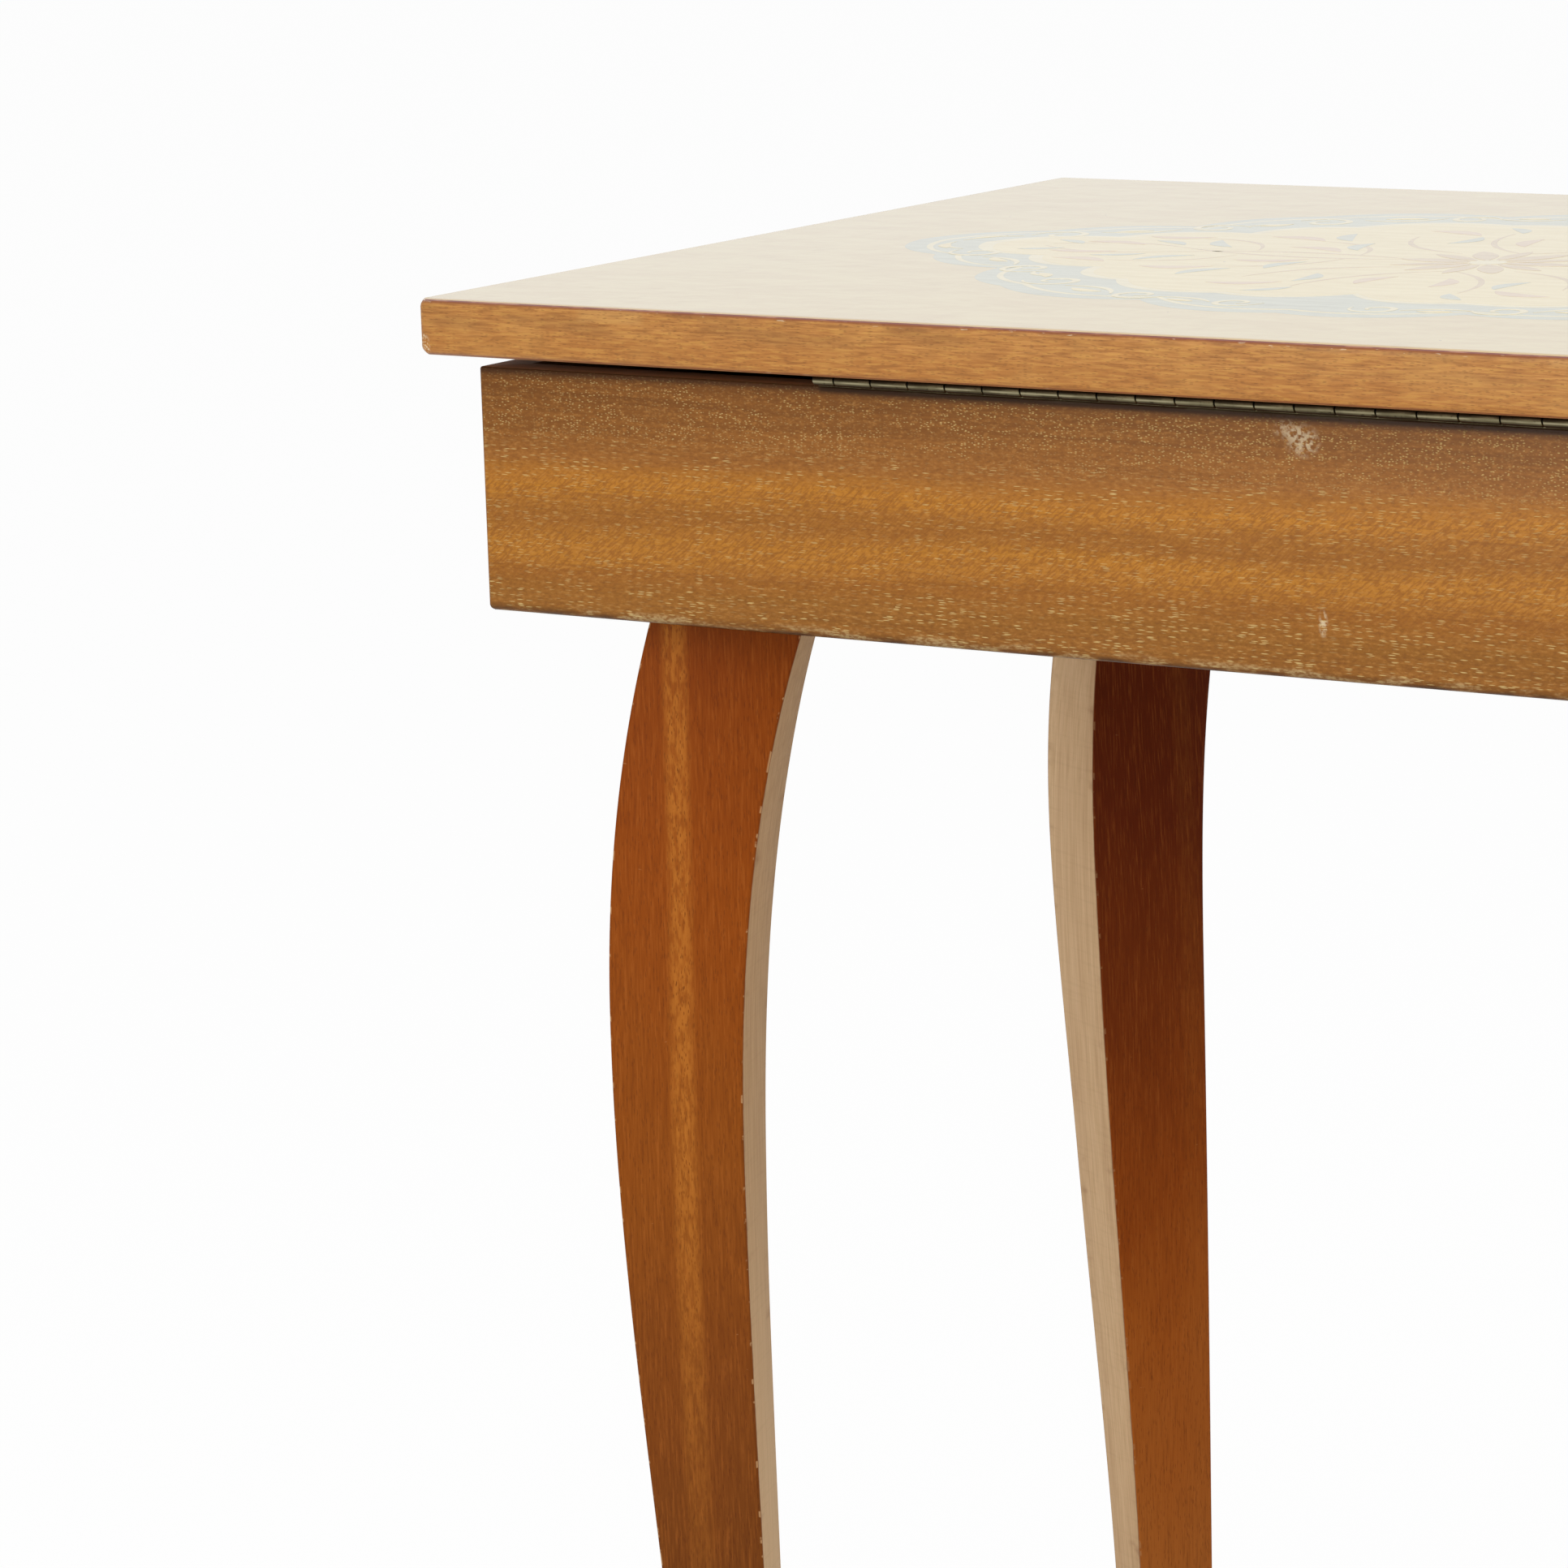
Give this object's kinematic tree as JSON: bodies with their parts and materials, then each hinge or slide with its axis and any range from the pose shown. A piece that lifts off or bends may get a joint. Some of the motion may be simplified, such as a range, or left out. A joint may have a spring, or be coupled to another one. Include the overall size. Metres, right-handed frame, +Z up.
{
  "type": "musical table",
  "caption": "Small table with a hinged marquetry lid over a lined box, a key-wound cylinder and comb movement inside, and flat serpentine legs.",
  "frame": {"origin": "on the floor under the middle of the lid, the bottom centre of the bounding box", "axes": "+X along the hinge side, +Y towards the hinge side, +Z up"},
  "size_m": [0.458, 0.32, 0.4549],
  "materials": {
    "lid_core": "bare board",
    "lipping": "satin lacquer",
    "marquetry": "gloss lacquer",
    "backing_veneer": "satin lacquer",
    "rubber": "matt",
    "box_veneer": "gloss lacquer",
    "plain_panel": "bare ply",
    "stained_wood": "satin",
    "felt": "napped",
    "clear_sheet": "polished",
    "hinge_brass": "aged",
    "leg_wood": "satin stain, sawn edges bare",
    "zinc_plate": "zinc plated",
    "cast_bed": "die cast",
    "movement_brass": "bright",
    "bright_steel": "polished",
    "frame_steel": "plated",
    "spring_steel": "blued",
    "key_brass": "tumbled"
  },
  "bodies": {
    "table": {"front_board": "box_veneer", "back_board": "box_veneer", "left_board": "box_veneer", "right_board": "box_veneer", "bottom_panel": "plain_panel", "cross_divider": "stained_wood", "bay_divider": "stained_wood", "main_felt": "felt", "small_felt": "felt", "pane_ledges": "stained_wood", "clear_pane": "clear_sheet", "hinge_leaf_lower": "hinge_brass", "hinge_pin": "hinge_brass", "hinge_screws_lower": "hinge_brass", "leg_back_a": "leg_wood", "leg_front_a": "leg_wood", "leg_back_b": "leg_wood", "leg_front_b": "leg_wood", "leg_plates": "zinc_plate", "leg_bolts": "zinc_plate", "leg_plate_screws": "zinc_plate", "bedplate": "cast_bed", "bed_screws": "zinc_plate", "clutch_spring": "spring_steel", "key_washer": "movement_brass", "arbor_bracket": "frame_steel", "comb": "bright_steel", "comb_base": "cast_bed", "comb_screws": "zinc_plate", "governor_frame": "frame_steel", "frame_screws": "zinc_plate", "stop_bracket": "frame_steel"},
    "lid": {"lid_core": "lid_core", "lid_lipping_front": "lipping", "lid_lipping_back": "lipping", "lid_lipping_left": "lipping", "lid_lipping_right": "lipping", "lid_marquetry": "marquetry", "lid_backing": "backing_veneer", "lid_buffers": "rubber", "hinge_leaf_upper": "hinge_brass", "hinge_screws_upper": "hinge_brass"},
    "barrel": {"spring_barrel": "movement_brass", "barrel_cap": "movement_brass", "mainspring": "spring_steel"},
    "winder": {"winding_arbor": "bright_steel", "winding_key": "key_brass"},
    "cylinder": {"cylinder_sleeve": "movement_brass", "cylinder_caps": "movement_brass", "cylinder_arbor": "bright_steel", "cylinder_pinion": "bright_steel", "cylinder_wheel": "movement_brass", "cylinder_pins": "bright_steel"},
    "second_arbor": {"second_wheel": "movement_brass", "second_pinion": "bright_steel"},
    "fly": {"worm": "bright_steel", "fly": "bright_steel"},
    "stop": {"stop_rod": "spring_steel"}
  },
  "joints": [
    {"name": "lid_hinge", "type": "hinge", "parent": "table", "child": "lid", "pos_m": [0, 0.1506, 0.43795], "axis": [-1, 0, 0], "range_deg": [0, 100]},
    {"name": "fly_spin", "type": "hinge", "parent": "table", "child": "fly", "pos_m": [0.19, -0.0623, 0.4035], "axis": [0, 0, 1], "continuous": true},
    {"name": "second_spin", "type": "hinge", "parent": "table", "child": "second_arbor", "pos_m": [0.19, -0.0705, 0.41008], "axis": [1, 0, 0], "continuous": true},
    {"name": "cylinder_spin", "type": "hinge", "parent": "table", "child": "cylinder", "pos_m": [0.154, -0.0815, 0.40528], "axis": [1, 0, 0], "continuous": true},
    {"name": "barrel_spin", "type": "hinge", "parent": "table", "child": "barrel", "pos_m": [0.106, -0.0815, 0.3885], "axis": [0, 0, 1], "continuous": true},
    {"name": "key_turn", "type": "hinge", "parent": "table", "child": "winder", "pos_m": [0.106, -0.0815, 0.37], "axis": [0, 0, 1], "continuous": true},
    {"name": "stop_slide", "type": "slide", "parent": "table", "child": "stop", "axis": [0, 0, 1], "range_m": [0, 0.006]}
  ],
  "couplings": [
    {"joint": "second_spin", "follows": "fly_spin", "ratio": 0.041667},
    {"joint": "cylinder_spin", "follows": "fly_spin", "ratio": -0.0083333},
    {"joint": "barrel_spin", "follows": "fly_spin", "ratio": -0.0015625},
    {"joint": "stop_slide", "follows": "lid_hinge", "m_per_rad": 0.003437}
  ]
}
